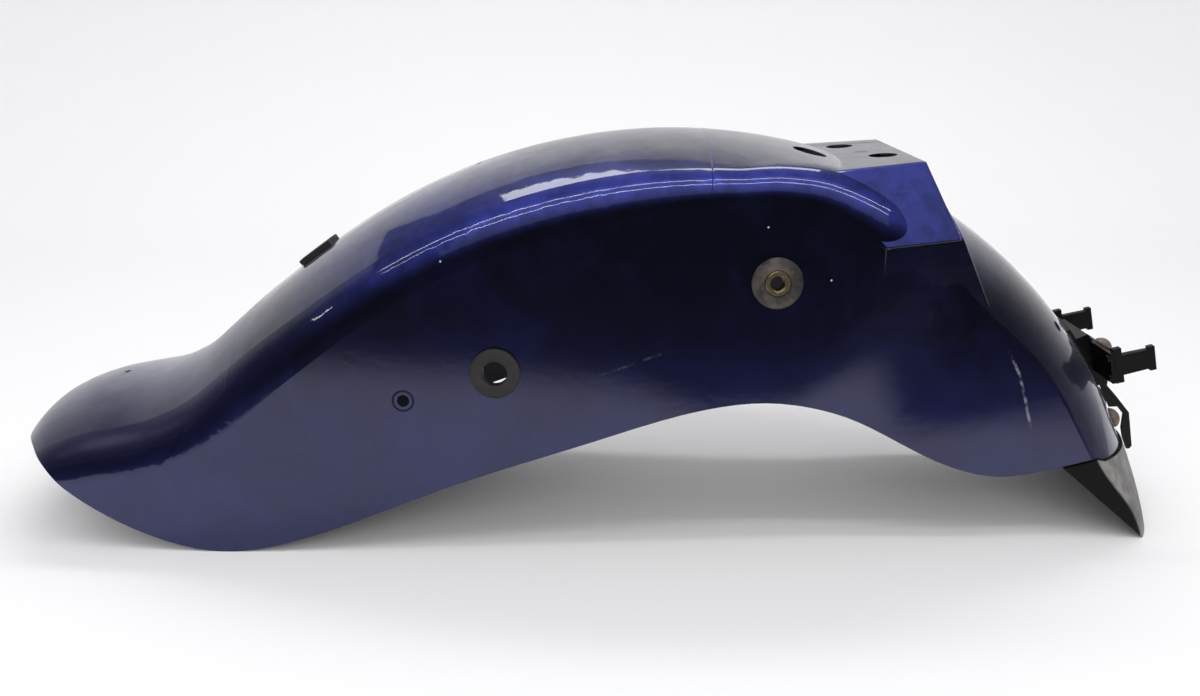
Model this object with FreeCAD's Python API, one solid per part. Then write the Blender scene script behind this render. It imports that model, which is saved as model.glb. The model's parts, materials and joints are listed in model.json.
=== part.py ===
import FreeCAD, Part
import math
import os

V = FreeCAD.Vector

# Sheet steel body. X runs to the rear, Y to the right-hand side, Z up; the crown line is in the plane Y = 0.
SHEET = 1.6
CLEAR = 0.15
NOSE_X = -466.4
NOSE_Z = 47.2
NOSE_PITCH = 69.4
# Crown line from the nose: nose roll, lip, waist, front slope, front arch, wheel arch (length, bend radius)
CROWN_ARCS = ((74, -81), (46, -262), (74, 120), (145, -900), (220, -455), (536, -399))
# Stations: run along the crown, half width, crown radius, shoulder radius, wall lean, depth below the crown
STATIONS = (
    (0, 98, 150, 40, 3.0, 62),
    (68, 103, 170, 38, 2.5, 84),
    (118, 104, 185, 38, 2.5, 124),
    (190, 104, 175, 40, 2.5, 174),
    (312, 104.5, 165, 38, 2.5, 206),
    (532, 104, 185, 34, 3.2, 214),
    (642, 101.5, 230, 26, 4.5, 200),
    (715, 99, 290, 22, 5.0, 188),
    (763, 96.5, 235, 10, 5.2, 178),
    (833, 89, 125, 5, 6.5, 168),
    (940, 87, 112, 5, 7.0, 150),
    (1050, 86.3, 110, 5, 7.0, 112),
    (1088, 85.5, 138, 5, 7.0, 100),
    (1132, 84, 176, 5, 7.0, 80),
)
SECTION_RUNS = (0, 18, 37, 55, 74, 97, 120, 145, 170, 194, 230, 270, 312, 365, 420, 476, 532, 588,
                642, 680, 715, 740, 763, 798, 833, 870, 905, 940, 990, 1040, 1088)
# Lower edge of the side walls, from the lip over the front lobe, the wheel cut-out and the rear lobe
LOWER_EDGE = ((-446, 66), (-418, 62.6), (-398, 47), (-348, 14.5), (-285, -3.4), (-224, 6.8), (-117, 48.3),
              (0, 89), (86, 114.3), (116, 116.8), (173, 105.3), (235, 73), (299, 52), (345, 56.8),
              (374, 62.5))
TAIL_Z = 59.5

# Tail-lamp pedestal
PED_FRONT = 140.0
PED_FOOT = 170.0
PED_SLOPE = 4.5
PED_TOP = (197, 62, 280)
PED_CORNER = (150, 62)
PED_EDGE_FRONT = (199, 227)
PED_EDGE_REAR = (252, 231)
PED_SIDE_LOW = (252, 198)
PED_REAR_TOP = (230, 282)
PED_REAR_LOW = (283, 176)
PED_ROUND = 2.0
PED_PROUD = 1.0
WIRE_HOLE_D = 26.0
WIRE_HOLE = (698, -31)
LAMP_HOLE_D = 21.0
LAMP_HOLES = ((193, 44), (211, -23))

# Side mountings
UPPER_MOUNT = (123.0, 203.4)
LOWER_MOUNT = (-74.5, 138.5)
SIDE_HOLE = (-141.2, 117.0)
SIDE_HOLE_D = 9.0
GROMMET_D = 36.0
GROMMET_NECK_D = 28.0
GROMMET_FLANGE = 3.4
GROMMET_BORE_D = 17.6
COLLAR_BORE_D = 10.2
COLLAR_PROUD = 0.6

# Crown fittings
CROWN_HOLE_D = 5.0
CROWN_HOLES = (103, 446)
TAIL_HOLE_D = 9.0
TAIL_HOLE = (938, 45)
PAD_RUNS = (286, 315)
PAD_WIDTH = 26.0
PAD_THICK = 4.2

# Mud flap: a moulding that carries the tail's section down to the ground, and its fastening.
# Its flange lies inside the tail, a ledge under the tail's edge steps out to the flap's own wall
FLAP = 3.0
FLAP_PROUD = 2.0
FLAP_RUNS = (990, 1015, 1040, 1064, 1088, 1110, 1140)
FLAP_FLANGE = ((342, 72), (396, 112), (470, 112), (470, 54), (374, 58), (352, 53.5))
FLAP_LEDGE = ((347.4, 56.7), (374, 62), (382, 59.1), (470, 56.3), (470, 51), (374, 57), (352, 52.8))
FLAP_WALL = ((350.6, 54), (374, 60), (382, 57), (470, 54), (470, -3.5), (418.5, -3.5))
STRIP = 2.0
STRIP_RUNS = (1031, 1053)
STRIP_HALF = 38.0
FLAP_BOLT = (1046, 20)
BOLT_D = 6.0
BOLT_PLAY = 0.6
HEAD_D = 16.0
HEAD_H = 6.5
WASHER_D = 14.0
WASHER_H = 1.2
NUT_AF = 10.0
NUT_H = 5.0

# Plate bracket behind the tail: a narrow channel with two hooked cheeks and a wing for each lamp arm
PLATE = 2.5
CHANNEL_HALF = 22.0
BASE_RUNS = (959, 1014)
BRACKET_BOLT = (990, 9)
TOP_WEB = ((372.3, 135.9), (383.8, 141.1))
REAR_WEB = ((386.5, 137.2), (412.0, 123.2))
WEB_BOLT = 24.5
WEB_HEAD_D = 14.0
WEB_HEAD_H = 5.5
WING_LOW = -13.5
WING_HIGH = 11.5
ARM_FOOT = (391.2, 125.6)
ARM_TILT = 14.0
ARM_WIDTH = 5.0
ARM_Y = 54.0
SCREW_D = 3.0
SCREW_HEAD_D = 5.5
SCREW_HEIGHTS = (-9.0, 7.0)


def crown(run):
    """Point on the crown line and its pitch, a given run from the nose."""
    x, z, pitch = NOSE_X, NOSE_Z, math.radians(NOSE_PITCH)
    for i, (length, radius) in enumerate(CROWN_ARCS):
        last = i == len(CROWN_ARCS) - 1
        step = run if last else min(run, length)
        turn = step / radius
        x += radius * (math.sin(pitch + turn) - math.sin(pitch))
        z -= radius * (math.cos(pitch + turn) - math.cos(pitch))
        pitch += turn
        run -= step
        if run == 0 and not last:
            break
    return x, z, pitch


def station(run):
    """Section sizes at a run, blended smoothly between the stations."""
    k = 0
    while k < len(STATIONS) - 2 and run > STATIONS[k + 1][0]:
        k += 1
    a, b = STATIONS[k], STATIONS[k + 1]
    before, after = STATIONS[max(k - 1, 0)], STATIONS[min(k + 2, len(STATIONS) - 1)]
    span = b[0] - a[0]
    t = min(max((run - a[0]) / span, 0.0), 1.0)
    out = []
    for c in range(1, len(a)):
        m0 = (b[c] - before[c]) / (b[0] - before[0]) * span
        m1 = (after[c] - a[c]) / (after[0] - a[0]) * span
        h00 = (1 + 2 * t) * (1 - t) ** 2
        h01 = t * t * (3 - 2 * t)
        out.append(h00 * a[c] + t * (1 - t) ** 2 * m0 + h01 * b[c] + t * t * (t - 1) * m1)
    return out


def at(run, y, out):
    """Point beside the crown line: y to the right, out along the crown's own normal."""
    x, z, pitch = crown(run)
    return V(x - math.sin(pitch) * out, y, z + math.cos(pitch) * out)


def section(run, inset, extra=0.0):
    """Closed outline of the fender at a run: walls, shoulders and crown."""
    half, crown_r, shoulder_r, lean, depth = station(run)
    lean = math.radians(lean)
    half -= inset * math.cos(lean)
    crown_r -= inset
    shoulder_r -= inset
    start = math.asin((half - shoulder_r * math.cos(lean)) / (crown_r - shoulder_r))
    end = math.pi / 2 - lean

    def shoulder(a):
        y = crown_r * math.sin(start) + shoulder_r * (math.sin(a) - math.sin(start))
        fall = crown_r * (1 - math.cos(start)) + shoulder_r * (math.cos(start) - math.cos(a))
        return y, -inset - fall

    top = [shoulder(start), shoulder((start + end) / 2), shoulder(end)]
    foot = -depth - extra
    wall = (top[2][1] - foot) * math.tan(lean)
    right = [at(run, y, n) for y, n in top] + [at(run, half + wall, foot)]
    left = [at(run, -y, n) for y, n in top] + [at(run, -half - wall, foot)]
    edges = [Part.LineSegment(left[3], left[2]), Part.Arc(left[2], left[1], left[0]),
             Part.Arc(left[0], at(run, 0, -inset), right[0]), Part.Arc(right[0], right[1], right[2]),
             Part.LineSegment(right[2], right[3]), Part.LineSegment(right[3], left[3])]
    return Part.Wire([e.toShape() for e in edges])


def plug(inset, extra=0.0):
    """Solid that fills the fender, its skin moved in by the inset."""
    return Part.makeLoft([section(run, inset, extra) for run in SECTION_RUNS], True, False)


def outside(p, q, r, inset):
    """Solid beyond the plane through three points, moved in by the inset."""
    normal = (q - p).cross(r - p).normalize()
    return Part.makeCylinder(700, 400, p - normal * inset, normal)


def mirrored(shape):
    return shape.mirror(V(0, 0, 0), V(0, 1, 0))


def wall_point(x, z):
    """Point on the left wall's outer face, given by its X and Z."""
    low, high = 150.0, 1000.0
    for _ in range(60):
        run = (low + high) / 2
        cx, cz, pitch = crown(run)
        if (x - cx) * math.cos(pitch) + (z - cz) * math.sin(pitch) > 0:
            low = run
        else:
            high = run
    half, crown_r, shoulder_r, lean, _ = station(run)
    lean = math.radians(lean)
    start = math.asin((half - shoulder_r * math.cos(lean)) / (crown_r - shoulder_r))
    fall = crown_r * (1 - math.cos(start)) + shoulder_r * (math.cos(start) - math.sin(lean))
    down = (x - cx) * math.sin(pitch) - (z - cz) * math.cos(pitch)
    return V(x, -half - (down - fall) * math.tan(lean), z)


def wall_frame(spot):
    """Point on the left wall's outer face and its outward normal, given by X and Z."""
    x, z = spot
    along = wall_point(x + 10, z) - wall_point(x - 10, z)
    up = wall_point(x, z + 10) - wall_point(x, z - 10)
    return wall_point(x, z), up.cross(along).normalize() * -1


def pedestal(inset):
    """Flat-faced block of the tail-lamp seat; its lower edge and sides lie flush with the fender's walls."""
    top = V(PED_TOP[0], -PED_TOP[1], PED_TOP[2])
    along = V(1, 0, math.tan(math.radians(PED_SLOPE)))
    proud = V(0, -PED_PROUD, 0)
    front = wall_point(*PED_EDGE_FRONT) + proud
    rear = wall_point(*PED_EDGE_REAR) + proud
    low = wall_point(*PED_SIDE_LOW)
    crest = V(PED_REAR_TOP[0], 0, PED_REAR_TOP[1])
    toe = V(PED_REAR_LOW[0], 0, PED_REAR_LOW[1])
    across = V(0, 1, 0)
    block = Part.makeBox(180, 260, 150, V(PED_FRONT, -130, PED_FOOT))
    block = block.cut(outside(top, top + along, top + along + across, inset))
    block = block.cut(outside(crest, toe, crest + across, inset))
    for corners in ((front, rear, top), (front, low, rear)):
        face = outside(*corners, inset)
        block = block.cut(face).cut(mirrored(face))
    if not inset:
        kept = [e for e in block.Edges if e.BoundBox.XMax > PED_FRONT + 1 and e.BoundBox.ZMax > PED_FOOT + 1]
        block = block.makeFillet(PED_ROUND, kept)
    neck = V(PED_CORNER[0], -PED_CORNER[1], front.z)
    corner = outside(front, front + V(0, 0, 1), neck, inset)
    return block.cut(corner).cut(mirrored(corner))


def crown_frame(run, y):
    """Point on the outer crown and its outward normal."""
    radius = station(run)[1]
    a = math.asin(y / radius)
    point = at(run, y, -radius * (1 - math.cos(a)))
    pitch = crown(run)[2]
    return point, V(-math.sin(pitch) * math.cos(a), math.sin(a), math.cos(pitch) * math.cos(a))


FLAP_FRAME = crown_frame(FLAP_BOLT[0], -FLAP_BOLT[1])
INSIDE = -SHEET - 3 * CLEAR - FLAP
BRACKET_FRAME = crown_frame(BRACKET_BOLT[0], -BRACKET_BOLT[1])


def pin(diameter, frame, low, high):
    """Round bar along a frame's normal, between two heights over its point."""
    point, normal = frame
    return Part.makeCylinder(diameter / 2, high - low, point + normal * low, normal)


def both(shape):
    return Part.makeCompound([shape, mirrored(shape)])


def side_profile():
    """Side view of what is kept of the pressing: everything above the lower edge."""
    curve = Part.BSplineCurve()
    curve.interpolate([V(x, -160, z) for x, z in LOWER_EDGE])
    x0, z0 = LOWER_EDGE[0]
    x1, z1 = LOWER_EDGE[-1]
    rest = [V(x1, -160, z1), V(x1 + 8, -160, TAIL_Z), V(480, -160, TAIL_Z - 3), V(480, -160, 420),
            V(-560, -160, 420), V(-560, -160, z0), V(x0, -160, z0)]
    wire = Part.Wire([curve.toShape()] + Part.makePolygon(rest).Edges)
    return Part.Face(wire).extrude(V(0, 320, 0))


def shell_drills():
    """Every hole of the pressing: paired ones on both sides, then those of the crown and the lamp seat."""
    bolt = BOLT_D + BOLT_PLAY
    pairs = [
        (GROMMET_NECK_D, wall_frame(UPPER_MOUNT)),
        (GROMMET_NECK_D, wall_frame(LOWER_MOUNT)),
        (SIDE_HOLE_D, wall_frame(SIDE_HOLE)),
        (TAIL_HOLE_D, crown_frame(TAIL_HOLE[0], -TAIL_HOLE[1])),
        (bolt, FLAP_FRAME),
        (bolt, BRACKET_FRAME),
    ]
    drills = [both(pin(diameter, frame, -8, 8)) for diameter, frame in pairs]
    drills += [pin(CROWN_HOLE_D, crown_frame(run, 0), -8, 8) for run in CROWN_HOLES]
    drills.append(pin(WIRE_HOLE_D, crown_frame(*WIRE_HOLE), -8, 8))
    slope = math.radians(PED_SLOPE)
    for x, y in LAMP_HOLES:
        seat = V(x, y, PED_TOP[2] + (x - PED_TOP[0]) * math.tan(slope))
        drills.append(pin(LAMP_HOLE_D, (seat, V(-math.sin(slope), 0, math.cos(slope))), -8, 8))
    return Part.makeCompound(drills)


def fender_shell(skin):
    """The pressing: skin and lamp seat hollowed to the sheet, trimmed at the lower edge and drilled."""
    shell = skin.fuse(pedestal(0))
    shell = shell.cut(plug(SHEET, 6.0)).cut(pedestal(SHEET))
    return shell.common(side_profile()).cut(shell_drills())


def turned(frame, rings):
    """Body turned round a frame's normal from (radius, height) corners."""
    point, normal = frame
    corners = [V(r, 0, h) for r, h in rings]
    face = Part.Face(Part.makePolygon(corners + corners[:1]))
    body = face.revolve(V(0, 0, 0), V(0, 0, 1), 360)
    body.Placement = FreeCAD.Placement(point, FreeCAD.Rotation(V(0, 0, 1), normal))
    return body


def grommet(frame):
    """Rubber grommet that grips the sheet with two flanges."""
    bore, neck, rim = GROMMET_BORE_D / 2, GROMMET_NECK_D / 2 - CLEAR, GROMMET_D / 2
    seat, back = CLEAR, -SHEET - CLEAR
    face, tail = seat + GROMMET_FLANGE, back - GROMMET_FLANGE
    rear = [(bore, tail), (rim - 1, tail), (rim, tail + 1), (rim, back), (neck, back)]
    front = [(neck, seat), (rim, seat), (rim, face - 1), (rim - 1, face)]
    mouth = [(bore + 0.8, face), (bore, face - 0.8)]
    return turned(frame, rear + front + mouth)


def collar(frame):
    """Plated steel collar pressed into the grommet."""
    inner, outer = COLLAR_BORE_D / 2, GROMMET_BORE_D / 2 - CLEAR / 2
    face = CLEAR + GROMMET_FLANGE + COLLAR_PROUD
    tail = -SHEET - face
    rear = [(inner, tail), (outer - 0.6, tail), (outer, tail + 0.6)]
    front = [(outer, face - 0.6), (outer - 0.6, face), (inner + 1, face), (inner, face - 1)]
    return turned(frame, rear + front)


def band(outer, inner):
    """Closed outline between two arcs, each given by its start, middle and end."""
    edges = [Part.Arc(*outer), Part.LineSegment(outer[2], inner[2]), Part.Arc(*reversed(inner))]
    edges.append(Part.LineSegment(inner[0], outer[0]))
    return Part.Wire([e.toShape() for e in edges])


def crown_block(run_a, run_b, half, low, high):
    """Piece of a layer over the crown between two runs, low and high over the outer skin."""
    sections = []
    for run in (run_a, (run_a + run_b) / 2, run_b):
        radius = station(run)[1]
        ends = []
        for out in (low, high):
            a = math.asin(half / radius)
            y = (radius + out) * math.sin(a)
            n = (radius + out) * math.cos(a) - radius
            ends.append((at(run, -y, n), at(run, 0, out), at(run, y, n)))
        sections.append(band(*ends))
    return Part.makeLoft(sections, True, False)


def seat_pad():
    return crown_block(PAD_RUNS[0], PAD_RUNS[1], PAD_WIDTH / 2, CLEAR, PAD_THICK)


def flap_layer(outer, inner, outline):
    """Wall between two insets from the fender's skin, trimmed to a side-view outline."""
    wall = Part.makeLoft([section(run, outer) for run in FLAP_RUNS], True, False)
    wall = wall.cut(Part.makeLoft([section(run, inner, 6.0) for run in FLAP_RUNS], True, False))
    return wall.common(profile(outline, -160, 320))


def mud_flap():
    """Plastic flap: bolted inside the tail, wrapped round both sides and ending on the ground."""
    inside = SHEET + 2 * CLEAR
    flap = flap_layer(inside, inside + FLAP, FLAP_FLANGE)
    flap = flap.fuse(flap_layer(-FLAP_PROUD, inside + FLAP, FLAP_LEDGE))
    flap = flap.fuse(flap_layer(-FLAP_PROUD, FLAP - FLAP_PROUD, FLAP_WALL))
    return flap.cut(both(pin(BOLT_D + BOLT_PLAY, FLAP_FRAME, -12, 4))).removeSplitter()


def profile(outline, y, width):
    """Plate with a side-view outline of (X, Z) corners, from y over its width."""
    corners = [V(x, y, z) for x, z in outline]
    return Part.Face(Part.makePolygon(corners + corners[:1])).extrude(V(0, width, 0))


def hex_bar(across, frame, low, high):
    """Hexagonal bar along a frame's normal."""
    point, normal = frame
    reach = across / math.sqrt(3)
    angles = [math.radians(60 * k) for k in range(7)]
    corners = [V(reach * math.cos(a), reach * math.sin(a), 0) for a in angles]
    bar = Part.Face(Part.makePolygon(corners)).extrude(V(0, 0, high - low))
    bar.Placement = FreeCAD.Placement(point + normal * low, FreeCAD.Rotation(V(0, 0, 1), normal))
    return bar


def domed_bolt(frame, low, shank_end, width, height):
    """Bolt with a domed head that sits low over the frame's point."""
    point, normal = frame
    rise = height - 1.5
    ball = (width * width / 4 + rise * rise) / (2 * rise)
    head = pin(width, frame, low, low + height + 1)
    head = head.common(Part.makeSphere(ball, point + normal * (low + height - ball)))
    return head.fuse(pin(BOLT_D, frame, shank_end, low + 1)).removeSplitter()


def ring(outer, inner, frame, low, high):
    return pin(outer, frame, low, high).cut(pin(inner, frame, low - 1, high + 1))


def flap_clamp_strip():
    strip = crown_block(STRIP_RUNS[0], STRIP_RUNS[1], STRIP_HALF, INSIDE - STRIP, INSIDE)
    return strip.cut(both(pin(BOLT_D + BOLT_PLAY, FLAP_FRAME, -14, 4)))


def web(edges):
    """Cross plate of the channel, under the line between its front and rear edge."""
    (x0, z0), (x1, z1) = edges
    length = math.hypot(x1 - x0, z1 - z0)
    dx, dz = (z1 - z0) / length * PLATE, -(x1 - x0) / length * PLATE
    outline = [(x0, z0), (x1, z1), (x1 + dx, z1 + dz), (x0 + dx, z0 + dz)]
    return profile(outline, -CHANNEL_HALF, 2 * CHANNEL_HALF)


def web_frame():
    """Seat of the bolt on the rear web and its normal."""
    (x0, z0), (x1, z1) = REAR_WEB
    along = V(x1 - x0, 0, z1 - z0).normalize()
    return V(x0, 0, z0) + along * WEB_BOLT, along.cross(V(0, 1, 0))


def cheek():
    """Left side plate of the channel, with its hooked leg."""
    crest = [(362, 128), *TOP_WEB, (386.5, 138.2), (406, 127.5), (413.5, 122.5)]
    notch = [(413.5, 111), (405.3, 102.5), (405.3, 98.5)]
    leg = [(413.5, 90), (426.4, 75.3), (433, 46.5), (431.5, 44), (429.3, 43.8)]
    inner = [(424.8, 53.4), (422.4, 62), (422.2, 74), (416.5, 80.5), (402, 80)]
    return profile(crest + notch + leg + inner, -CHANNEL_HALF, PLATE)


def on_wing(shape):
    """Move a shape from the lamp arm's own axes to its seat on the left wing."""
    spot = V(ARM_FOOT[0], -ARM_Y, ARM_FOOT[1])
    shape.Placement = FreeCAD.Placement(spot, FreeCAD.Rotation(V(0, 1, 0), -ARM_TILT))
    return shape


def arm_bars(diameter, low, high):
    """Round bars along the lamp arm at the heights of its screws."""
    bars = [Part.makeCylinder(diameter / 2, high - low, V(low, 0, z), V(1, 0, 0)) for z in SCREW_HEIGHTS]
    return Part.makeCompound(bars)


def plate_bracket():
    """Folded steel bracket: base strap, two webs, two cheeks and two wings."""
    width = ARM_Y + ARM_WIDTH / 2 - CHANNEL_HALF + 1
    wing = Part.makeBox(PLATE, width, WING_HIGH - WING_LOW, V(-PLATE, -ARM_WIDTH / 2, WING_LOW))
    wing = on_wing(wing.cut(arm_bars(SCREW_D + 0.4, -9, 9)))
    above = [cheek(), mirrored(cheek()), web(TOP_WEB)]
    above = [piece.cut(plug(-CLEAR - PLATE / 2)) for piece in above]
    above = [max(piece.Solids, key=lambda s: s.Volume) for piece in above]
    base = crown_block(BASE_RUNS[0], BASE_RUNS[1], CHANNEL_HALF - 1, CLEAR, CLEAR + PLATE)
    body = base.fuse(above + [web(REAR_WEB), wing, mirrored(wing)])
    bolt = BOLT_D + BOLT_PLAY
    holes = [both(pin(bolt, BRACKET_FRAME, -4, 12)), pin(bolt, web_frame(), -9, 9)]
    return body.cut(Part.makeCompound(holes)).removeSplitter()


def lamp_arm():
    """Arm of the left lamp: a foot flange on the wing, a neck and an end flange."""
    steps = [(CLEAR, 14), (6.3, 14), (6.3, 8.2), (26.5, 7.6), (26.5, 9.6), (31, 9.6)]
    steps += [(x, -z) for x, z in reversed(steps)]
    body = profile(steps, -ARM_WIDTH / 2, ARM_WIDTH)
    return on_wing(body.cut(arm_bars(SCREW_D + 0.2, -1, 6)))


def arm_screws():
    """Pan-head screws through the wing into the lamp arm's foot."""
    low = -PLATE - CLEAR
    heads = arm_bars(SCREW_HEAD_D, low - 1.8, low).Solids
    shanks = arm_bars(SCREW_D, low - 1, 5).Solids
    return on_wing(Part.makeCompound([h.fuse(k).removeSplitter() for h, k in zip(heads, shanks)]))


def clamp_set(frame, under, sag):
    """Washer and nut of a bolt, below a height under the frame's point, clear of the curved sheet."""
    top = under - CLEAR - sag
    washer = ring(WASHER_D, BOLT_D + 0.4, frame, top - WASHER_H, top)
    top -= WASHER_H + CLEAR
    nut = hex_bar(NUT_AF, frame, top - NUT_H, top).cut(pin(BOLT_D + 0.1, frame, top - NUT_H - 1, top + 1))
    return washer, nut, top - NUT_H - 2


def build():
    upper, lower = wall_frame(UPPER_MOUNT), wall_frame(LOWER_MOUNT)
    parts = {"fender_shell": fender_shell(plug(0))}
    pairs = {"grommet_upper": grommet(upper), "collar_upper": collar(upper), "grommet_lower": grommet(lower)}
    pairs["lamp_arm"] = lamp_arm()
    for name, piece in pairs.items():
        parts[name + "_left"] = piece
        parts[name + "_right"] = mirrored(piece)
    parts["seat_pad"] = seat_pad()
    parts["mud_flap"] = mud_flap()
    parts["flap_clamp_strip"] = flap_clamp_strip()
    sag = WASHER_D ** 2 / 8 / station(FLAP_BOLT[0])[1]
    washer, nut, end = clamp_set(FLAP_FRAME, INSIDE - STRIP, sag)
    parts["flap_bolts"] = both(domed_bolt(FLAP_FRAME, CLEAR, end, HEAD_D, HEAD_H))
    parts["flap_washers"] = both(washer)
    parts["flap_nuts"] = both(nut)
    parts["plate_bracket"] = plate_bracket()
    washer, nut, end = clamp_set(BRACKET_FRAME, -SHEET, sag)
    over = PLATE + 2 * CLEAR
    head = hex_bar(NUT_AF, BRACKET_FRAME, over, over + 4)
    parts["bracket_bolts"] = both(head.fuse(pin(BOLT_D, BRACKET_FRAME, end, over + 1)))
    parts["bracket_washers"] = both(washer)
    parts["bracket_nuts"] = both(nut)
    washer, nut, end = clamp_set(web_frame(), -PLATE, 0)
    parts["web_bolt"] = domed_bolt(web_frame(), CLEAR, end, WEB_HEAD_D, WEB_HEAD_H)
    parts["web_washer"] = washer
    parts["web_nut"] = nut
    parts["arm_screws"] = both(arm_screws())
    return parts


def save(parts):
    """Set the part on the ground with its middle over the origin and write one file a node."""
    box = FreeCAD.BoundBox()
    for shape in parts.values():
        box.add(shape.optimalBoundingBox(False, False))
    shift = V(-(box.XMin + box.XMax) / 2, -(box.YMin + box.YMax) / 2, -box.ZMin)
    os.makedirs("parts", exist_ok=True)
    for name, shape in parts.items():
        shape.translate(shift)
        shape.exportStep("parts/" + name + ".step")


save(build())
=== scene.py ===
import json
import math

import bmesh
import bpy
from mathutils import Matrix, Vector

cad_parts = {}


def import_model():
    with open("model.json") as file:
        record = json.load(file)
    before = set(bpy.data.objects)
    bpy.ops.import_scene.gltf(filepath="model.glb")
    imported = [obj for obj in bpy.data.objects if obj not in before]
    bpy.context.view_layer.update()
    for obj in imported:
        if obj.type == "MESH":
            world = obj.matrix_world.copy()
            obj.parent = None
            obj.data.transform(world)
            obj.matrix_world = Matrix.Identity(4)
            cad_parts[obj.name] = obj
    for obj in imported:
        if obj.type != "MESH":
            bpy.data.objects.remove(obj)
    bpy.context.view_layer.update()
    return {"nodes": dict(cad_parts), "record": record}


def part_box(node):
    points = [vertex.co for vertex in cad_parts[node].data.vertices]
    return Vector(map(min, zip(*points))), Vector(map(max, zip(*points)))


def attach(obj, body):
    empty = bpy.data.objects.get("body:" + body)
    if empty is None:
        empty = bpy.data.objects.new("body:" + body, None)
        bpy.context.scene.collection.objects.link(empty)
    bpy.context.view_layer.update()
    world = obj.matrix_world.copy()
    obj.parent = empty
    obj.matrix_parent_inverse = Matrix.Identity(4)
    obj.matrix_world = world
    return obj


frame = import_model()

MM = 0.001

# Camera, looking down at the fender: right and up in metres from the left lower grommet, Y as in the part
GROMMET = sum(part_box("grommet_lower_left"), Vector()) / 2
CAMERA_RIGHT = 0.0745
CAMERA_UP = 0.2423
CAMERA_Y = -0.813
CAMERA_PITCH = math.radians(17.6)
CAMERA_NEAREST = 0.01
SENSOR = 36.0
LENS = 31.5

# Studio, in metres: a white table that bends up into the backdrop, with a pale sheet on either side
TABLE_FRONT = -0.80
TABLE_REACH = 1.4
BACKDROP_Y = 1.3
BACKDROP_BEND = 0.4
BACKDROP_TOP = 1.9
BEND_STEPS = 10
SIDE_FRONT = -0.4
SIDE_TOP = 1.3

# Painted shade at the front of the table and side sheets: colour from dark to pale along Y, and set back to
# the right along X
TABLE_SHADE = (-0.78, -0.52)
SIDE_SHADE = (SIDE_FRONT, 1.0)
SHADE_TURN_X = (0.2, 0.6)
SHADE_TURN = 0.22
STAGE_PAINTED_SHADE = (0.06, 0.06, 0.065)
STAGE_PALE = (0.86, 0.855, 0.86)

# Lamps: place, aim, and width and depth in metres, and power in watts
LAMPS = {
    "ceiling_tube_back": ((0.05, 0.75, 1.85), (0.05, 0.0, 0.2), (1.8, 0.26), 9),
    "ceiling_tube_middle": ((-0.1, -0.5, 1.85), (-0.1, 0.0, 0.2), (3.8, 0.04), 7),
    "ceiling_tube_front": ((-0.1, -0.95, 1.85), (-0.1, 0.0, 0.2), (3.8, 0.04), 7),
    "ceiling_tube_left": ((-2.9, -0.85, 1.85), (-0.2, 0.0, 0.2), (0.6, 0.05), 1.2),
    "ceiling_soft": ((0.2, -1.2, 2.1), (0.1, 0.0, 0.2), (3.4, 2.0), 7.5),
    "front_fill": ((0.0, -2.0, 1.0), (0.0, 0.0, 0.0), (2.6, 0.8), 14),
}
NOT_REFLECTED = "front_fill"

# World: colour and strength as soft light all round, as the dim room in reflections, and to the camera
WORLD_SOFT = ((0.97, 0.98, 1.0, 1.0), 0.67)
WORLD_REFLECTED = ((0.9, 0.92, 1.0, 1.0), 0.05)
WORLD_SEEN = ((1.0, 1.0, 1.0, 1.0), 0.8)

# Middle of the wheel space, which tells the fender's inside from its outer skin
AXLE = (0.03, 0.0, 0.03)

# Wear on the left wall in metres, as (x, z) of the side view, with half widths or radii and soft rims
SCRATCH = ((0.3032, 0.1513), (0.3115, 0.136), (0.3182, 0.1168), (0.3248, 0.0933))
SCRATCH_WIDTH = (0.0005, 0.0011)
FAINT_SCRATCH = ((0.0063, 0.1407), (0.0489, 0.1564))
FAINT_WIDTH = (0.0002, 0.0012)
NICKS = ((-0.1042, 0.2217), (0.1218, 0.2455), (0.1674, 0.2082))
NICK_SIZE = (0.0005, 0.0004)
SMEAR = (0.265, 0.205)
SMEAR_SIZE = (0.03, 0.05)
BOLT_HOLE = (-0.1349, 0.1205)
RING_OUTER = (0.0078, 0.0008)
RING_INNER = (0.0062, 0.0008)

# Smudge on top of the lamp seat, and the distances at which it ends and is full
SMUDGE = (0.207, 0.004, 0.2835)
SMUDGE_FADE = (0.0095, 0.004)

# Colours of the paint: navy on the walls, painted shade near black high on them, a brighter blue as painted
# glow on the shoulder, and what lies on them
NAVY = (0.01, 0.011, 0.066)
NAVY_CLOUD = (0.015, 0.017, 0.096)
NAVY_FLAKE = (0.035, 0.042, 0.14)
PAINTED_SHADE_BLACK = (0.008, 0.008, 0.024)
PAINTED_GLOW_BLUE = (0.026, 0.036, 0.22)
PAINTED_GLOW_BRIGHT = (0.052, 0.066, 0.4)
PAINT_DUST = (0.2, 0.2, 0.22)
RING_DARK = (0.008, 0.008, 0.011)
SMUDGE_DARK = (0.012, 0.014, 0.05)
SCRATCH_PALE = (0.42, 0.42, 0.46)
NICK_PALE = (0.55, 0.55, 0.58)
INSIDE_DULL = (0.02, 0.02, 0.024)
SHEEN = (0.75, 0.78, 0.85, 1.0)

# Stretches of the part in metres, along Z or X, over which the paint changes: the painted shade high on the
# walls, the ends of the painted glow, the dusty tail, the coat on the seat top and the hazy nose
PAINTED_SHADE_Z = (0.11, 0.18)
PAINTED_GLOW_FRONT_X = (-0.25, -0.08)
PAINTED_GLOW_REAR_X = (0.285, 0.255)
DUSTY_TAIL_X = (0.26, 0.36)
SEAT_TOP_X = (0.14, 0.16)
HAZY_NOSE_X = (-0.23, -0.28)

# Arc of the crown line before the lamp seat, in millimetres: middle as (x, z), and its start's run and pitch
ARC_CENTRE = (60.89, -97.21)
ARC_RADIUS = 399.0
ARC_RUN = 559.0
ARC_PITCH = math.radians(5.394)

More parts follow.
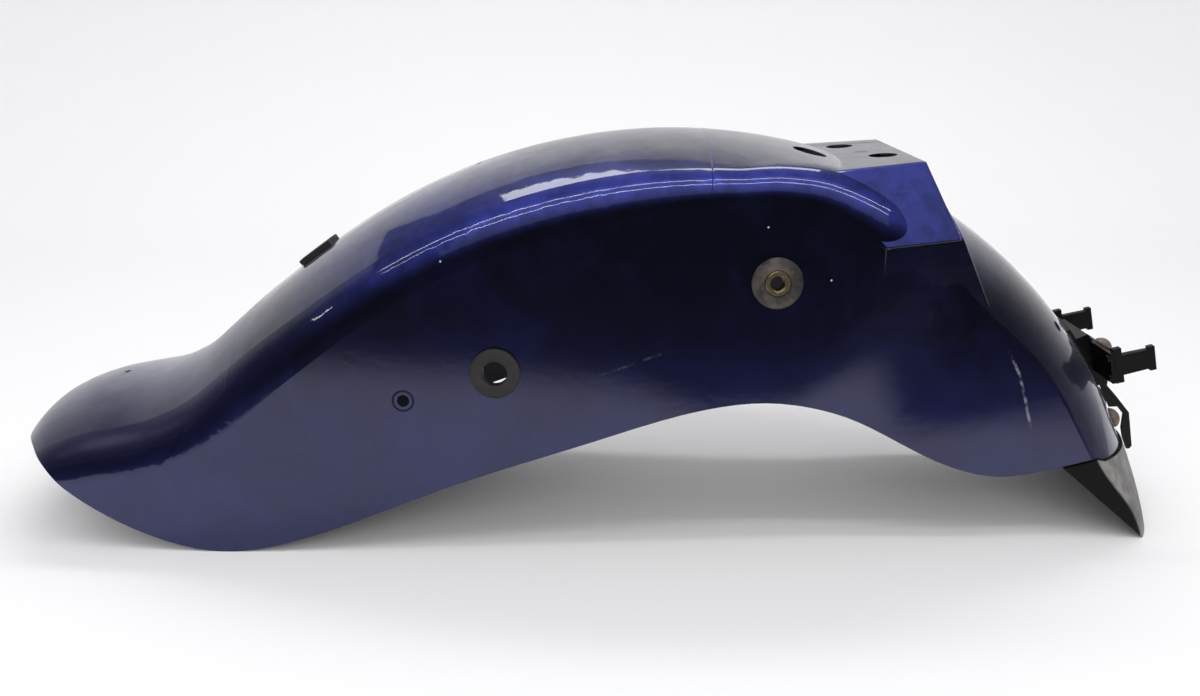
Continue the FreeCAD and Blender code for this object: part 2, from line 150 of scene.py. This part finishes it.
# Sections of the crown's swell: run, half width, crown radius, shoulder radius and wall lean in degrees
SWELL = (
    (620, 102.1, 217.9, 27.6, 4.25),
    (642, 101.5, 240, 26.5, 4.5),
    (680, 100.4, 420, 28.5, 4.8),
    (715, 99.4, 750, 33, 5.0),
    (740, 100.9, 620, 37, 5.1),
    (758, 102.2, 520, 40, 5.2),
    (770, 101.8, 490, 42.5, 5.4),
    (780, 100.1, 480, 43, 5.5),
    (790, 96.8, 470, 43, 5.6),
    (800, 90.8, 460, 43, 5.8),
)
SWELL_STEP = 2.0
SWELL_LIFT = 0.15
CROWN_STEPS = 40
SHOULDER_STEPS = 16

# The swell's lower lip: its fall at a run, the run over which it rises by 1, and its folds as (inward, down)
LIP_RUN = 692
LIP_FALL = 51.0
LIP_RISE_RUN = 7.0
LIP_LEAST = 0.5
LIP_FOLDS = ((3, 0.4), (6, 1.5))

# The lip is set in by 1 up to the run SINK_FULL, and no longer from the run SINK_END on
SINK_FULL = 715
SINK_END = 745

# How far the swell is drawn in below the seat's lower edge, over what drop, and that edge's run-on in front
TUCK = 8
TUCK_DROP = 2
TUCK_LEAD = 3
TUCK_SLOPE = 0.5

# Wire hole in the crown, which the swell leaves open
HOLE_MIDDLE = Vector((160.55, -30.88, 286.3))
HOLE_AXIS = Vector((0.25, -0.1095, 0.962)).normalized()
HOLE_RADIUS = 13.0
HOLE_REACH = 15

# Seat's leaning side: corners as (x, z), starting at the top front, and its plane y = a + b x + c z
SEAT_CORNERS = ((156.3, 279.9), (236.2, 286.2), (258.3, 234.5), (205.3, 230.5))
SEAT_PLANE = (-259.9, 0.1213, 0.5672)
SEAT_FOLD_TOP = 18.0
SEAT_FOLD_REAR = 12.0
SEAT_FOLD_FOOT = 4.0
SEAT_EDGE = 1.6
SEAT_EDGE_STEPS = 3

# Thickness of both covers, laid to the inside
COVER_THICKNESS = 1.0 * MM


def add(tree, kind, sockets=None, **settings):
    """New shader node with its settings and its sockets' values or links."""
    made = tree.nodes.new(kind)
    for name, value in settings.items():
        setattr(made, name, value)
    for name, value in (sockets or {}).items():
        if isinstance(value, bpy.types.NodeSocket):
            tree.links.new(value, made.inputs[name])
        else:
            made.inputs[name].default_value = value
    return made


def place(tree):
    """Position on the part, in metres."""
    return add(tree, "ShaderNodeTexCoord").outputs["Object"]


def normal(tree):
    """Direction that the surface faces."""
    return add(tree, "ShaderNodeNewGeometry").outputs["Normal"]


def axis_of(tree, whole, axis):
    """One coordinate of a vector."""
    return add(tree, "ShaderNodeSeparateXYZ", {"Vector": whole}).outputs[axis]


def along(tree, axis):
    """Position on the part along one axis, in metres."""
    return axis_of(tree, place(tree), axis)


def noise(tree, scale, detail=4.0, rough=0.55, warp=0.0):
    """Cloudy pattern over the part."""
    sockets = {"Scale": scale, "Detail": detail, "Roughness": rough, "Distortion": warp}
    return add(tree, "ShaderNodeTexNoise", {"Vector": place(tree), **sockets}).outputs["Fac"]


def ramp(tree, value, low, high, start=0.0, end=1.0):
    """Value stretched smoothly from low..high to start..end."""
    sockets = {"Value": value, "From Min": low, "From Max": high, "To Min": start, "To Max": end}
    return add(tree, "ShaderNodeMapRange", sockets, interpolation_type="SMOOTHSTEP").outputs["Result"]


def between(tree, mask, none, full):
    """Value that goes from none to full with a mask."""
    return ramp(tree, mask, 0.0, 1.0, none, full)


def calc(tree, operation, a, b):
    """Number that an operation makes of two others."""
    return add(tree, "ShaderNodeMath", {0: a, 1: b}, operation=operation).outputs[0]


def times(tree, a, b):
    """Product of two numbers or masks."""
    return calc(tree, "MULTIPLY", a, b)


def plus(tree, a, b):
    """Sum of two numbers or masks."""
    return calc(tree, "ADD", a, b)


def strongest(tree, masks):
    """The highest of several masks."""
    most = masks[0]
    for mask in masks[1:]:
        most = calc(tree, "MAXIMUM", most, mask)
    return most


def vector(tree, operation, a, b):
    """Vector that an operation makes of two others."""
    return add(tree, "ShaderNodeVectorMath", {0: a, 1: b}, operation=operation).outputs["Vector"]


def measure(tree, operation, a, b):
    """Number that an operation makes of two vectors."""
    return add(tree, "ShaderNodeVectorMath", {0: a, 1: b}, operation=operation).outputs["Value"]


def tint(tree, share, first, second):
    """Colour between two others."""
    made = add(tree, "ShaderNodeMix", {"Factor": share}, data_type="RGBA")
    for socket, value in ((made.inputs[6], first), (made.inputs[7], second)):
        if isinstance(value, bpy.types.NodeSocket):
            tree.links.new(value, socket)
        else:
            socket.default_value = (*value, 1.0)
    return made.outputs[2]


def bump(tree, height, strength, distance):
    """Normal of a surface roughened by a height."""
    sockets = {"Height": height, "Strength": strength, "Distance": distance}
    return add(tree, "ShaderNodeBump", sockets).outputs["Normal"]


def material(name):
    """New material with its node tree and shader."""
    made = bpy.data.materials.new(name)
    made.use_nodes = True
    return made, made.node_tree, made.node_tree.nodes["Principled BSDF"]


def connect(tree, shader, **links):
    """Link values to the shader's sockets, named with underscores."""
    for name, value in links.items():
        tree.links.new(value, shader.inputs[name.replace("_", " ")])


def inner_side(tree):
    """1 on the faces that look in at the wheel, 0 on the outer skin."""
    offset = vector(tree, "SUBTRACT", place(tree), AXLE)
    return ramp(tree, measure(tree, "DOT_PRODUCT", offset, normal(tree)), 0.0, -0.002)


def facing_up(tree, low, high):
    """From 0 to 1 as a face's upward share goes from low to high."""
    return ramp(tree, axis_of(tree, normal(tree), "Z"), low, high)


def near_side(tree):
    """1 on the left half of the part, which the photograph shows."""
    return ramp(tree, along(tree, "Y"), -0.01, -0.012)


def side_view(tree):
    """Position seen from the side: its height and length only."""
    return vector(tree, "MULTIPLY", place(tree), (1.0, 0.0, 1.0))


def mark(tree, start, end, half, soft):
    """1 along a line of the side view between two (x, z) points, 0 away from it."""
    first = Vector((start[0], 0.0, start[1]))
    line = Vector((end[0], 0.0, end[1])) - first
    reach = line.length
    offset = vector(tree, "SUBTRACT", side_view(tree), first)
    run = measure(tree, "DOT_PRODUCT", offset, line / reach)
    held = calc(tree, "MINIMUM", calc(tree, "MAXIMUM", run, 0.0), reach)
    sockets = {0: line / reach, "Scale": held}
    foot = add(tree, "ShaderNodeVectorMath", sockets, operation="SCALE").outputs["Vector"]
    return ramp(tree, measure(tree, "DISTANCE", offset, foot), half + soft, half)


def spot(tree, middle, radius, soft):
    """1 within a circle of the side view, 0 outside it."""
    gap = measure(tree, "DISTANCE", side_view(tree), (middle[0], 0.0, middle[1]))
    return ramp(tree, gap, radius + soft, radius)


def paint_marks(tree, outside):
    """Masks of the scratches, the nicks and the dark ring round the bolt hole."""
    left = times(tree, near_side(tree), outside)
    lines = [mark(tree, *ends, *SCRATCH_WIDTH) for ends in zip(SCRATCH, SCRATCH[1:])]
    lines.append(times(tree, mark(tree, *FAINT_SCRATCH, *FAINT_WIDTH), 0.4))
    broken = ramp(tree, noise(tree, 160.0, 3.0), 0.35, 0.65)
    scratch = times(tree, times(tree, strongest(tree, lines), left), broken)
    nick = times(tree, strongest(tree, [spot(tree, middle, *NICK_SIZE) for middle in NICKS]), left)
    ring = calc(tree, "SUBTRACT", spot(tree, BOLT_HOLE, *RING_OUTER), spot(tree, BOLT_HOLE, *RING_INNER))
    return scratch, nick, times(tree, ring, outside)


def paint_dust(tree, outside):
    """Mask of the dust on what looks up, on the tail and in the smear below the lamp seat."""
    top = times(tree, facing_up(tree, 0.75, 1.0), ramp(tree, noise(tree, 35.0, 6.0, 0.65), 0.25, 0.8))
    streaks = ramp(tree, noise(tree, 40.0, 5.0, 0.6, 1.5), 0.45, 0.75)
    smear = times(tree, spot(tree, SMEAR, *SMEAR_SIZE), streaks)
    tail = times(tree, ramp(tree, along(tree, "X"), *DUSTY_TAIL_X), facing_up(tree, 0.1, 0.3))
    dust = plus(tree, top, times(tree, smear, 0.15))
    return times(tree, plus(tree, dust, times(tree, tail, 0.4)), outside)


def paint_colour(tree, cloud, shoulder):
    """Navy with metal flakes, darkened to near black high on the walls as painted shade, and a brighter blue
    on the shoulder as painted glow.
    """
    flake = ramp(tree, noise(tree, 1400.0, 2.0), 0.35, 0.75, 0.0, 0.3)
    walls = tint(tree, flake, tint(tree, cloud, NAVY, NAVY_CLOUD), NAVY_FLAKE)
    # Painted shade: the walls darken towards near black as they rise
    deep = times(tree, ramp(tree, along(tree, "Z"), *PAINTED_SHADE_Z), between(tree, cloud, 0.8, 0.4))
    walls = tint(tree, deep, walls, PAINTED_SHADE_BLACK)
    # Painted glow: a brighter blue on the shoulder, between the glow's front and rear ends, stands in for
    # lamp light on the metal flakes
    painted_glow = tint(tree, ramp(tree, noise(tree, 48.0, 5.0, 0.6, 0.8), 0.3, 0.7), PAINTED_GLOW_BLUE, PAINTED_GLOW_BRIGHT)
    length = along(tree, "X")
    middle = times(tree, ramp(tree, length, *PAINTED_GLOW_FRONT_X), ramp(tree, length, *PAINTED_GLOW_REAR_X))
    return tint(tree, times(tree, shoulder, middle), walls, painted_glow)


def paint():
    """Navy metallic paint under clear coat: cloudy, dusty on top, scratched on the left, dull inside."""
    made, tree, shader = material("navy_metallic_paint")
    inside = inner_side(tree)
    outside = calc(tree, "SUBTRACT", 1.0, inside)
    cloud = ramp(tree, noise(tree, 16.0, 5.0, 0.6, 0.8), 0.3, 0.7)
    shoulder = times(tree, facing_up(tree, 0.2, 0.5), facing_up(tree, 0.98, 0.75))
    scratch, nick, ring = paint_marks(tree, outside)
    dust = paint_dust(tree, outside)
    smudge = ramp(tree, measure(tree, "DISTANCE", place(tree), SMUDGE), *SMUDGE_FADE)

    colour = paint_colour(tree, cloud, shoulder)
    layers = (
        (dust, 0.2, PAINT_DUST),
        (ring, 0.6, RING_DARK),
        (smudge, 0.9, SMUDGE_DARK),
        (scratch, 0.4, SCRATCH_PALE),
        (nick, 0.8, NICK_PALE),
        (inside, 0.85, INSIDE_DULL),
    )
    for mask, share, layer in layers:
        colour = tint(tree, times(tree, mask, share), colour, layer)
    bare = strongest(tree, [inside, times(tree, dust, 0.35), scratch, nick])
    grain = ramp(tree, noise(tree, 60.0), 0.3, 0.7, 0.32, 0.38)
    grain = plus(tree, grain, times(tree, shoulder, 0.12))
    connect(tree, shader, Base_Color=colour)
    connect(tree, shader, Metallic=between(tree, bare, 0.95, 0.0))
    connect(tree, shader, Roughness=plus(tree, grain, times(tree, inside, 0.25)))
    connect(tree, shader, Sheen_Weight=times(tree, between(tree, dust, 0.03, 0.2), outside))
    shader.inputs["Sheen Roughness"].default_value = 0.35
    shader.inputs["Sheen Tint"].default_value = SHEEN

    seat = times(tree, facing_up(tree, 0.98, 0.99), ramp(tree, along(tree, "X"), *SEAT_TOP_X, 0.0, 0.4))
    dulled = [times(tree, mask, share) for mask, share in ((ring, 0.8), (scratch, 0.6), (smudge, 0.75))]
    nose = times(tree, ramp(tree, along(tree, "X"), *HAZY_NOSE_X), facing_up(tree, 0.25, 0.5))
    haze = strongest(tree, [facing_up(tree, 0.9, 0.985), nose, times(tree, cloud, 0.15)])
    connect(tree, shader, Coat_Weight=between(tree, strongest(tree, [inside, *dulled, seat]), 1.0, 0.0))
    connect(tree, shader, Coat_Roughness=between(tree, haze, 0.045, 0.3))
    connect(tree, shader, Coat_Normal=bump(tree, noise(tree, 130.0, 2.0), 0.25, 0.0002))
    return made


def rubber(name, dusty):
    """Black rubber under road dust."""
    made, tree, shader = material(name)
    dust = ramp(tree, noise(tree, 90.0, 6.0, 0.65), 0.3, 0.75)
    connect(tree, shader, Base_Color=tint(tree, dust, (0.012, 0.011, 0.011), dusty))
    connect(tree, shader, Roughness=between(tree, dust, 0.62, 0.9))
    connect(tree, shader, Normal=bump(tree, noise(tree, 600.0, 4.0), 0.3, 0.0003))
    return made


def passivated():
    """Dull yellow-passivated steel with a fine grain."""
    made, tree, shader = material("yellow_passivated_steel")
    stain = ramp(tree, noise(tree, 220.0, 5.0), 0.35, 0.7)
    connect(tree, shader, Base_Color=tint(tree, stain, (0.28, 0.225, 0.125), (0.13, 0.1, 0.065)))
    shader.inputs["Metallic"].default_value = 0.9
    connect(tree, shader, Roughness=between(tree, stain, 0.35, 0.6))
    connect(tree, shader, Normal=bump(tree, noise(tree, 900.0, 3.0), 0.2, 0.0002))
    return made


def flap_plastic():
    """Dark moulded plastic with a fine grain; the band that faces the rear is pale with road dust."""
    made, tree, shader = material("dusty_moulded_plastic")
    rear = ramp(tree, axis_of(tree, normal(tree), "X"), 0.35, 0.6)
    dust = ramp(tree, noise(tree, 45.0, 6.0, 0.65), 0.3, 0.75)
    side = tint(tree, dust, (0.003, 0.003, 0.0033), (0.009, 0.0085, 0.0085))
    band = tint(tree, dust, (0.13, 0.127, 0.123), (0.36, 0.35, 0.34))
    connect(tree, shader, Base_Color=tint(tree, rear, side, band))
    connect(tree, shader, Roughness=between(tree, dust, 0.5, 0.8))
    shader.inputs["Specular IOR Level"].default_value = 0.12
    connect(tree, shader, Normal=bump(tree, noise(tree, 900.0, 3.0), 0.3, 0.0003))
    return made


def black_paint(name, gloss):
    """Black painted steel or plastic, a little dusty."""
    made, tree, shader = material(name)
    dust = ramp(tree, noise(tree, 70.0, 6.0, 0.65), 0.4, 0.8)
    connect(tree, shader, Base_Color=tint(tree, dust, (0.0025, 0.0025, 0.0028), (0.009, 0.0085, 0.0085)))
    connect(tree, shader, Roughness=between(tree, dust, gloss, gloss + 0.25))
    shader.inputs["Specular IOR Level"].default_value = 0.2
    connect(tree, shader, Normal=bump(tree, noise(tree, 500.0, 3.0), 0.15, 0.0003))
    return made


def rusty_steel():
    """Steel with brown rust over what is left of its plating."""
    made, tree, shader = material("rusty_steel")
    rust = ramp(tree, noise(tree, 260.0, 6.0, 0.7), 0.35, 0.62)
    deep = ramp(tree, noise(tree, 700.0, 4.0), 0.35, 0.7)
    brown = tint(tree, deep, (0.21, 0.135, 0.1), (0.1, 0.06, 0.042))
    connect(tree, shader, Base_Color=tint(tree, rust, (0.26, 0.235, 0.22), brown))
    connect(tree, shader, Metallic=between(tree, rust, 0.7, 0.1))
    connect(tree, shader, Roughness=between(tree, rust, 0.45, 0.85))
    connect(tree, shader, Normal=bump(tree, deep, 0.5, 0.0004))
    return made


def zinc_steel():
    """Dull zinc-plated steel."""
    made, tree, shader = material("dull_zinc_steel")
    stain = ramp(tree, noise(tree, 240.0, 5.0), 0.35, 0.7)
    connect(tree, shader, Base_Color=tint(tree, stain, (0.42, 0.42, 0.43), (0.24, 0.23, 0.22)))
    shader.inputs["Metallic"].default_value = 0.9
    connect(tree, shader, Roughness=between(tree, stain, 0.4, 0.65))
    return made


SLOT_MATERIALS = {
    "navy_paint": paint(),
    "rubber": rubber("worn_rubber", (0.034, 0.03, 0.029)),
    "passivated_steel": passivated(),
    "flap_plastic": flap_plastic(),
    "bracket_black": black_paint("black_bracket_paint", 0.35),
    "arm_plastic": black_paint("black_arm_plastic", 0.5),
    "black_screws": black_paint("black_screw_finish", 0.4),
    "rusty_steel": rusty_steel(),
    "zinc_steel": zinc_steel(),
}
DUSTY_RUBBER = rubber("dusty_rubber", (0.1, 0.085, 0.074))
DUSTY_NODES = ("grommet_upper_left", "grommet_upper_right")


def dress_nodes():
    """Material of each CAD node, from its slot in the record."""
    for entry in frame["record"]["subparts"]:
        dusty = entry["node"] in DUSTY_NODES
        piece = frame["nodes"][entry["node"]]
        for held in piece.material_slots:
            held.material = DUSTY_RUBBER if dusty else SLOT_MATERIALS[entry["material_slot"]]
        for face in piece.data.polygons:
            face.use_smooth = True


def even_slope(rises, k):
    """Slope at a row that keeps the blend from overshooting."""
    if k == 0 or k == len(rises):
        return rises[min(k, len(rises) - 1)]
    left, right = rises[k - 1], rises[k]
    return 2 * left * right / (left + right) if left * right > 0 else 0.0


def blended(table, run):
    """Row of a table at a run, blended smoothly between its rows."""
    k = max(i for i in range(len(table) - 1) if table[i][0] <= run)
    span = table[k + 1][0] - table[k][0]
    t = (run - table[k][0]) / span
    row = []
    for c in range(1, len(table[0])):
        rises = [(b[c] - a[c]) / (b[0] - a[0]) for a, b in zip(table, table[1:])]
        start, end = table[k][c], table[k + 1][c]
        ease = t * t * (3 - 2 * t)
        bow = t * (1 - t) ** 2 * even_slope(rises, k) - t * t * (1 - t) * even_slope(rises, k + 1)
        row.append(start + ease * (end - start) + span * bow)
    return row


def swell_section(run):
    """Half section as (y, fall below the crown line), from the crown's middle down to where it tucks in."""
    half, crown_r, shoulder_r, lean = blended(SWELL, run)
    lean = math.radians(lean)
    turn = math.asin((half - shoulder_r * math.cos(lean)) / (crown_r - shoulder_r))
    end = math.pi / 2 - lean
    points = []
    for k in range(CROWN_STEPS + 1):
        a = turn * k / CROWN_STEPS
        points.append((crown_r * math.sin(a), crown_r * (1 - math.cos(a))))
    y0, fall0 = points[-1]
    for k in range(1, SHOULDER_STEPS + 1):
        a = turn + (end - turn) * k / SHOULDER_STEPS
        y = y0 + shoulder_r * (math.sin(a) - math.sin(turn))
        points.append((y, fall0 + shoulder_r * (math.cos(turn) - math.cos(a))))
    y1, fall1 = points[-1]
    lip = max(LIP_FALL - (run - LIP_RUN) / LIP_RISE_RUN, fall1 + LIP_LEAST)
    sink = min(max((SINK_END - run) / (SINK_END - SINK_FULL), 0.0), 1.0)
    y2 = y1 + (lip - fall1) * math.tan(lean) - sink
    points += [((y1 + y2) / 2, (fall1 + lip) / 2), (y2, lip)]
    return points + [(y2 - inward, lip + down) for inward, down in LIP_FOLDS]


def tucked(x, z):
    """How far the swell is drawn in where it would hang below the seat's lower edge."""
    (x1, z1), (x0, z0) = SEAT_CORNERS[2:]
    drop = z0 + (x - x0) * (z1 - z0) / (x1 - x0) - z
    drop -= TUCK_SLOPE * max(x0 + TUCK_LEAD - x, 0.0)
    return TUCK * min(max(drop / TUCK_DROP, 0.0), 1.0)


def swell_row(run):
    """Full section of the swell, from left to right."""
    pitch = ARC_PITCH - (run - ARC_RUN) / ARC_RADIUS
    half = swell_section(run)
    row = []
    for y, fall in [(-y, fall) for y, fall in half[:0:-1]] + half:
        reach = ARC_RADIUS + SWELL_LIFT - fall
        x = ARC_CENTRE[0] - math.sin(pitch) * reach
        z = ARC_CENTRE[1] + math.cos(pitch) * reach
        row.append(Vector((x, y - math.copysign(tucked(x, z), y), z)))
    return row


def open_hole(corners):
    """Push the corners within the wire hole out to its rim, and say which they are."""
    moved = set()
    for k, corner in enumerate(corners):
        offset = corner - HOLE_MIDDLE
        depth = offset.dot(HOLE_AXIS)
        across = offset - HOLE_AXIS * depth
        if across.length < HOLE_RADIUS and abs(depth) < HOLE_REACH:
            moved.add(k)
            corners[k] = corner + across.normalized() * (HOLE_RADIUS - across.length)
    return moved


def placed(name, mesh, slot):
    """Added piece of the part, on its one body."""
    for corner in mesh.vertices:
        corner.co *= MM
    mesh.materials.append(SLOT_MATERIALS[slot])
    made = bpy.data.objects.new(name, mesh)
    bpy.context.scene.collection.objects.link(made)
    skin = made.modifiers.new("sheet_thickness", "SOLIDIFY")
    skin.thickness = COVER_THICKNESS
    skin.offset = -1.0
    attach(made, "root")


def crown_swell():
    """Smooth cover over the crown where it swells into the lamp seat, open at the wire hole."""
    first, last = SWELL[0][0], SWELL[-1][0]
    rows = int((last - first) / SWELL_STEP)
    corners = []
    for k in range(rows + 1):
        corners += swell_row(first + SWELL_STEP * k)
    wide = len(corners) // (rows + 1)
    in_hole = open_hole(corners)
    faces = []
    for start in range(0, rows * wide, wide):
        for k in range(start, start + wide - 1):
            face = (k, k + wide, k + wide + 1, k + 1)
            if not in_hole.issuperset(face):
                faces.append(face)
    used = sorted({k for face in faces for k in face})
    order = {k: i for i, k in enumerate(used)}
    mesh = bpy.data.meshes.new("crown_swell")
    mesh.from_pydata([corners[k] for k in used], [], [[order[k] for k in face] for face in faces])
    for face in mesh.polygons:
        face.use_smooth = True
    lips = (len(LIP_FOLDS), wide - 1 - len(LIP_FOLDS))
    for edge in mesh.edges:
        edge.use_edge_sharp = all(used[k] % wide in lips for k in edge.vertices)
    placed("crown_swell", mesh, "navy_paint")


def seat_faces():
    """The lamp seat's leaning sides, folded in at their top, rear and lower edges."""
    a, b, c = SEAT_PLANE
    flat = [(x, a + b * x + c * z, z) for x, z in SEAT_CORNERS]
    top_front, top_rear, foot_rear, foot_front = flat
    folds = (
        (top_front, SEAT_FOLD_TOP),
        (top_rear, SEAT_FOLD_TOP),
        (foot_rear, SEAT_FOLD_REAR),
        (foot_front, SEAT_FOLD_FOOT),
        (foot_rear, SEAT_FOLD_FOOT),
    )
    spots = flat + [(x, y + fold, z) for (x, y, z), fold in folds]
    side_loop, top_loop, rear_loop, foot_loop = (0, 3, 2, 1), (0, 1, 5, 4), (1, 2, 6, 5), (3, 7, 8, 2)
    work = bmesh.new()
    for side in (1, -1):
        held = [work.verts.new((x, side * y, z)) for x, y, z in spots]
        for loop in (side_loop, top_loop, rear_loop, foot_loop):
            work.faces.new([held[k] for k in loop[::side]])
    creases = [edge for edge in work.edges if len(edge.link_faces) == 2]
    settings = {"offset": SEAT_EDGE, "segments": SEAT_EDGE_STEPS, "profile": 0.5, "affect": "EDGES"}
    bmesh.ops.bevel(work, geom=creases, **settings)
    mesh = bpy.data.meshes.new("seat_faces")
    work.to_mesh(mesh)
    work.free()
    placed("seat_faces", mesh, "navy_paint")


def stage_material(name, dark, pale):
    """Plain pale card whose colour darkens towards the front as painted shade, between two places along Y.
    """
    made, tree, shader = material(name)
    turn = ramp(tree, along(tree, "X"), *SHADE_TURN_X, 0.0, SHADE_TURN)
    # Painted shade: the card's colour goes dark towards the front
    lit = ramp(tree, calc(tree, "SUBTRACT", along(tree, "Y"), turn), dark, pale)
    connect(tree, shader, Base_Color=tint(tree, lit, STAGE_PAINTED_SHADE, STAGE_PALE))
    shader.inputs["Roughness"].default_value = 0.9
    shader.inputs["Specular IOR Level"].default_value = 0.1
    return made


def sheet(name, corners, faces, surface):
    """Sheet of the studio, which is no piece of the part."""
    mesh = bpy.data.meshes.new(name)
    mesh.from_pydata(corners, [], faces)
    mesh.materials.append(surface)
    for face in mesh.polygons:
        face.use_smooth = True
    made = bpy.data.objects.new(name, mesh)
    bpy.context.scene.collection.objects.link(made)


def studio():
    """Table that bends up into the backdrop, and a pale sheet to the left and right of it, out of view."""
    white = stage_material("table_white", *TABLE_SHADE)
    shaded = stage_material("side_white", *SIDE_SHADE)
    profile = [(TABLE_FRONT, 0.0)]
    for k in range(BEND_STEPS + 1):
        a = math.pi / 2 * k / BEND_STEPS
        profile.append((BACKDROP_Y + BACKDROP_BEND * (math.sin(a) - 1), BACKDROP_BEND * (1 - math.cos(a))))
    profile.append((BACKDROP_Y, BACKDROP_TOP))
    corners = [(side * TABLE_REACH, y, z) for y, z in profile for side in (-1, 1)]
    faces = [(2 * k, 2 * k + 1, 2 * k + 3, 2 * k + 2) for k in range(len(profile) - 1)]
    sheet("table_and_backdrop", corners, faces, white)
    outline = ((SIDE_FRONT, 0), (BACKDROP_Y, 0), (BACKDROP_Y, SIDE_TOP), (SIDE_FRONT, SIDE_TOP))
    for name, x in (("side_sheet_left", -TABLE_REACH), ("side_sheet_right", TABLE_REACH)):
        sheet(name, [(x, y, z) for y, z in outline], [(0, 1, 2, 3)], shaded)


def lights():
    """Tubes and a soft panel on the ceiling, and a fill from the front that the paint doesn't reflect."""
    for name, (where, aim, size, power) in LAMPS.items():
        data = bpy.data.lights.new(name, "AREA")
        data.shape = "RECTANGLE"
        data.size, data.size_y = size
        data.energy = power
        made = bpy.data.objects.new(name, data)
        made.location = where
        made.rotation_euler = (Vector(aim) - Vector(where)).to_track_quat("-Z", "Y").to_euler()
        made.visible_glossy = name != NOT_REFLECTED
        bpy.context.scene.collection.objects.link(made)


def world():
    """Pale to the camera, a dim room in reflections, soft light from all round for the rest."""
    made = bpy.data.worlds.new("room")
    made.use_nodes = True
    tree = made.node_tree
    tree.nodes.clear()
    path = add(tree, "ShaderNodeLightPath").outputs
    shades = []
    for colour, strength in (WORLD_SOFT, WORLD_REFLECTED, WORLD_SEEN):
        shades.append(add(tree, "ShaderNodeBackground", {"Color": colour, "Strength": strength}).outputs[0])
    soft, reflected, seen = shades
    lit = add(tree, "ShaderNodeMixShader", {0: path["Is Glossy Ray"], 1: soft, 2: reflected}).outputs[0]
    both = add(tree, "ShaderNodeMixShader", {0: path["Is Camera Ray"], 1: lit, 2: seen}).outputs[0]
    add(tree, "ShaderNodeOutputWorld", {"Surface": both})
    bpy.context.scene.world = made


def camera():
    """The photograph's camera."""
    data = bpy.data.cameras.new("photo_camera")
    data.sensor_width = SENSOR
    data.lens = LENS
    data.clip_start = CAMERA_NEAREST
    made = bpy.data.objects.new("photo_camera", data)
    made.location = (GROMMET.x + CAMERA_RIGHT, CAMERA_Y, GROMMET.z + CAMERA_UP)
    made.rotation_euler = (math.pi / 2 - CAMERA_PITCH, 0.0, 0.0)
    bpy.context.scene.collection.objects.link(made)
    bpy.context.scene.camera = made


dress_nodes()
crown_swell()
seat_faces()
studio()
lights()
world()
camera()
bpy.context.scene.view_settings.view_transform = "Standard"
